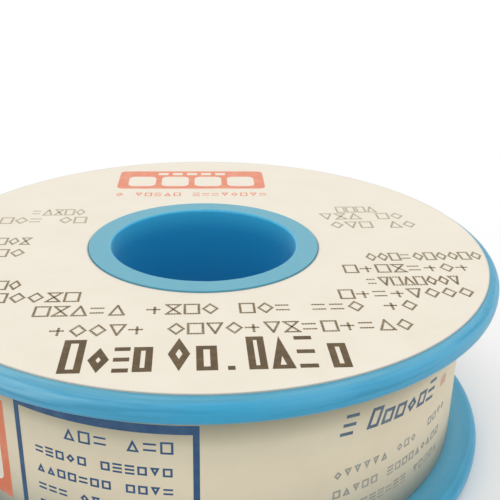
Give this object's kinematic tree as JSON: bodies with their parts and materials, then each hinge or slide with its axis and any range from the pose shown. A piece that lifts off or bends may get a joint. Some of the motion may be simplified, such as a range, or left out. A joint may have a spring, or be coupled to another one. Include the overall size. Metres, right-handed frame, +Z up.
{
  "type": "solder wire spool",
  "caption": "Low flanged spool of flux-cored solder wire: flanges snapped onto a barrel, the wound wire, a round face label and a paper band round the winding.",
  "frame": {"origin": "centre of the face of the lower hub ring that the spool stands on, on the axis of the bore", "axes": "+Z up along the bore's axis, to the labelled flange; +X to the right and +Y to the back when the face label is read from the front; both ends of the wire lie towards +X"},
  "size_m": [0.058, 0.058, 0.0195],
  "materials": {
    "spool_plastic": "satin",
    "solder": "satin",
    "rosin_flux": "gloss",
    "face_label_paper": "matte",
    "band_paper": "matte"
  },
  "bodies": {
    "root": {"upper_flange": "spool_plastic", "lower_flange": "spool_plastic", "winding_barrel": "spool_plastic", "solder_inner_layers": "solder", "solder_outer_turns": "solder", "solder_start_end": "solder", "solder_finish_end": "solder", "rosin_flux_core": "rosin_flux", "round_label": "face_label_paper", "paper_band": "band_paper"}
  },
  "joints": []
}
